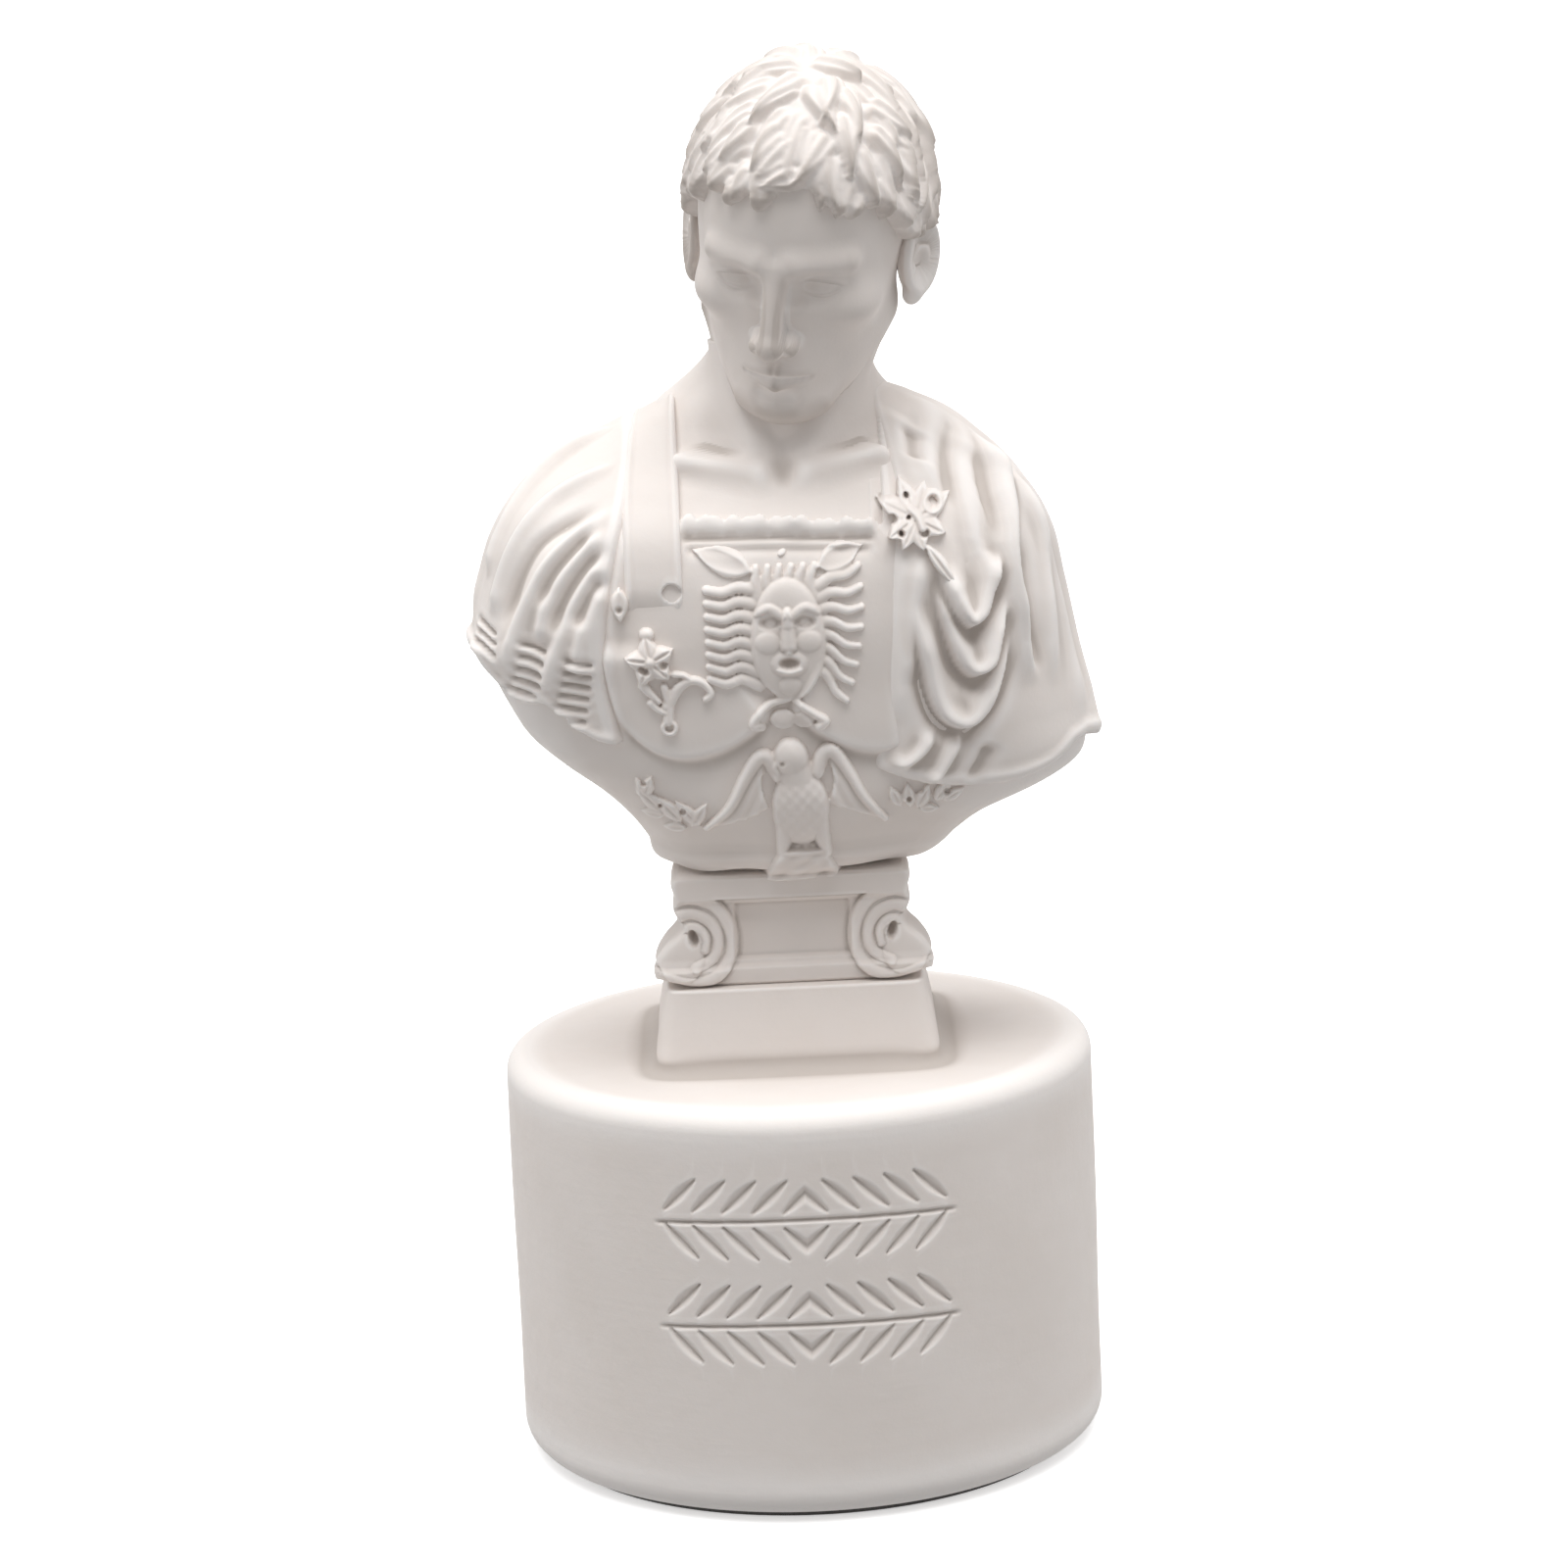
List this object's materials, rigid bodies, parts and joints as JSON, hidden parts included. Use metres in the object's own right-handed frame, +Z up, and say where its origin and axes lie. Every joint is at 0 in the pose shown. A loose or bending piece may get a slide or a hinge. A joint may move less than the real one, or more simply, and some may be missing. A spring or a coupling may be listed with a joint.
{
  "type": "portrait bust",
  "caption": "Classical bust of a draped and armoured figure with bowed head on a scroll plinth and a round pedestal with incised laurel.",
  "frame": {"origin": "middle of the felt's underside, where the bust stands", "axes": "+Z up to the crown of the head, -Y towards the viewer that the chest faces, +X to the figure's left"},
  "size_m": [0.0947, 0.09, 0.2131],
  "materials": {
    "marble": "matt",
    "steel": "zinc plated",
    "felt": "pressed felt"
  },
  "bodies": {
    "root": {"felt_pad": "felt", "pedestal": "marble", "scroll_plinth": "marble", "breastplate": "marble", "sleeve": "marble", "cloak": "marble", "shoulder_strap": "marble", "strap_knot": "marble", "mask_badge": "marble", "eagle": "marble", "brooch": "marble", "right_hem_leaves": "marble", "left_hem_leaves": "marble", "head_and_neck": "marble", "tie_rod": "steel", "tie_nut": "steel", "tie_washer": "steel", "neck_dowel": "steel", "locating_pins": "steel"}
  },
  "joints": []
}
